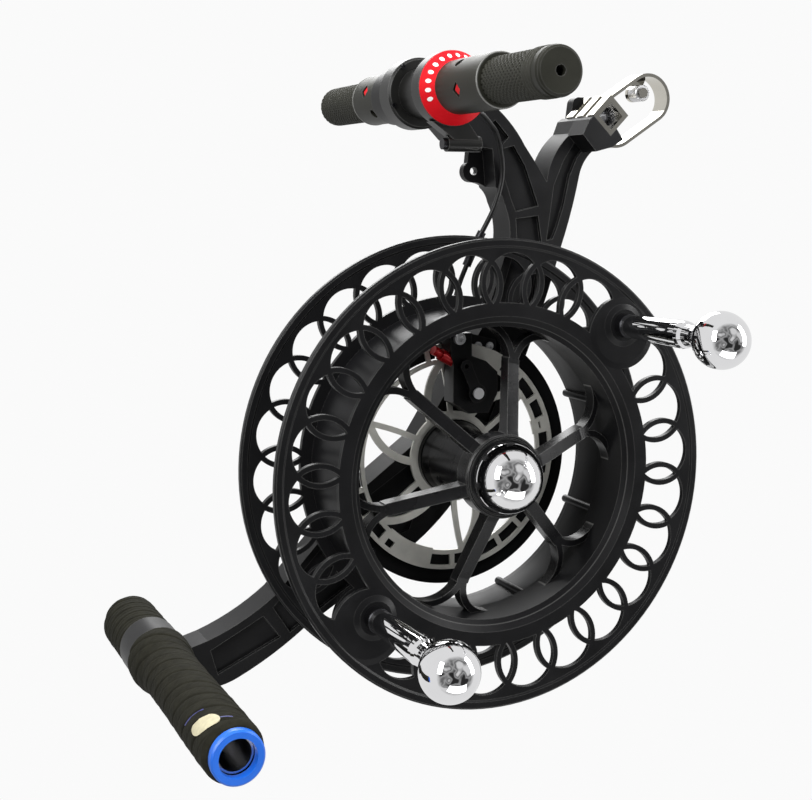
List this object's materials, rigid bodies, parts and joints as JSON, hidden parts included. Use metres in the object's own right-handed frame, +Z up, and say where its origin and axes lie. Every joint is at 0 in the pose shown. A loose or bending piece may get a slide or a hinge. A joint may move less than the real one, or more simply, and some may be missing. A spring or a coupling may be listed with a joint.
{
  "type": "kite line winder",
  "caption": "Hand-cranked kite line reel with pierced flanges, disc brake, twist drag grip, line guide and waist bar on a moulded frame.",
  "frame": {"origin": "middle of the waist bar's bore, on the bore's axis", "axes": "+X from the waist bar towards the reel, +Y along the waist bar and the axle, away from the cranks, +Z up towards the drag grip"},
  "size_m": [0.3989, 0.3499, 0.4307],
  "materials": {
    "moulded_black": "satin",
    "flange_black": "gloss",
    "drum_black": "satin",
    "spider_black": "gloss",
    "bright_chrome": "polished",
    "steel": "brushed",
    "dark_screw": "satin",
    "bolt_silver": "satin",
    "bar_olive": "satin",
    "grip_rubber": "matte",
    "clamp_grey": "satin",
    "dial_red": "gloss",
    "foam": "matte",
    "ring_blue": "gloss",
    "tube_metal": "satin",
    "caliper_black": "satin",
    "pad_lining": "matte",
    "adjuster_red": "gloss",
    "cable_black": "satin",
    "ferrule_metal": "satin",
    "guide_chrome": "polished",
    "guide_ceramic": "gloss"
  },
  "bodies": {
    "frame": {"frame_plate": "moulded_black", "disc_guard": "moulded_black", "guard_screws": "dark_screw", "axle": "steel", "axle_front_nut": "steel", "axle_rear_nut": "steel", "axle_washer": "steel", "axle_spacer": "steel", "waist_bar_tube": "tube_metal", "waist_grip_front": "foam", "waist_grip_rear": "foam", "waist_collar": "foam", "waist_rings": "ring_blue", "bar_core": "bar_olive", "bar_clamp": "clamp_grey", "bar_clamp_screw": "dark_screw", "bar_end_disc": "clamp_grey", "end_disc_screws": "dark_screw", "rear_sleeve": "bar_olive", "rear_window": "dial_red", "rear_grip": "grip_rubber", "caliper_body": "caliper_black", "caliper_bolts": "bolt_silver", "caliper_pivot": "steel", "brake_pad_fixed": "pad_lining", "pad_adjuster": "adjuster_red", "brake_cable": "cable_black", "cable_ferrule": "ferrule_metal", "guide_block": "guide_chrome", "guide_insert": "guide_ceramic", "guide_loop": "guide_chrome", "guide_roller_pin": "steel"},
    "reel": {"front_flange": "flange_black", "rear_flange": "flange_black", "spool_drum": "drum_black", "flange_screws": "dark_screw", "reel_spider": "spider_black", "hub_barrel": "spider_black", "bearings": "steel", "hub_bezel": "spider_black", "hub_cap": "bright_chrome", "brake_disc": "steel", "brake_disc_bolts": "dark_screw", "crank_spindles": "steel", "crank_bushes": "dark_screw", "spindle_nuts": "steel"},
    "knob_upper": {"crank_sleeve_upper": "bright_chrome", "crank_ball_upper": "bright_chrome"},
    "knob_lower": {"crank_sleeve_lower": "bright_chrome", "crank_ball_lower": "bright_chrome"},
    "twist_grip": {"twist_sleeve": "bar_olive", "twist_grip_rubber": "grip_rubber", "twist_cap": "bar_olive", "drag_dial": "dial_red", "twist_window": "dial_red"},
    "brake_lever": {"caliper_lever": "caliper_black"},
    "brake_pad": {"brake_pad_moving": "pad_lining"},
    "roller": {"guide_roller": "guide_ceramic"}
  },
  "joints": [
    {"name": "reel_spin", "type": "hinge", "parent": "frame", "child": "reel", "pos_m": [0.2083, 0.001, 0.1178], "axis": [0, 1, 0], "continuous": true},
    {"name": "knob_upper_spin", "type": "hinge", "parent": "reel", "child": "knob_upper", "pos_m": [0.30159, -0.084, 0.2126], "axis": [0, 1, 0], "continuous": true},
    {"name": "knob_lower_spin", "type": "hinge", "parent": "reel", "child": "knob_lower", "pos_m": [0.11969, -0.084, 0.0338], "axis": [0, 1, 0], "continuous": true},
    {"name": "grip_twist", "type": "hinge", "parent": "frame", "child": "twist_grip", "pos_m": [0.1803, -0.084, 0.3693], "axis": [0, 1, 0], "range_deg": [0, 70]},
    {"name": "lever_swing", "type": "hinge", "parent": "frame", "child": "brake_lever", "pos_m": [0.2178, 0.0196, 0.1643], "axis": [0, 1, 0], "range_deg": [0, 12]},
    {"name": "pad_press", "type": "slide", "parent": "frame", "child": "brake_pad", "axis": [0, 1, 0], "range_m": [0, 0.00035]},
    {"name": "roller_spin", "type": "hinge", "parent": "frame", "child": "roller", "pos_m": [0.3563, 0.034, 0.3748], "axis": [0, 1, 0], "continuous": true}
  ],
  "couplings": [
    {"joint": "lever_swing", "follows": "grip_twist", "ratio": 0.17},
    {"joint": "pad_press", "follows": "grip_twist", "m_per_rad": 0.000285}
  ]
}
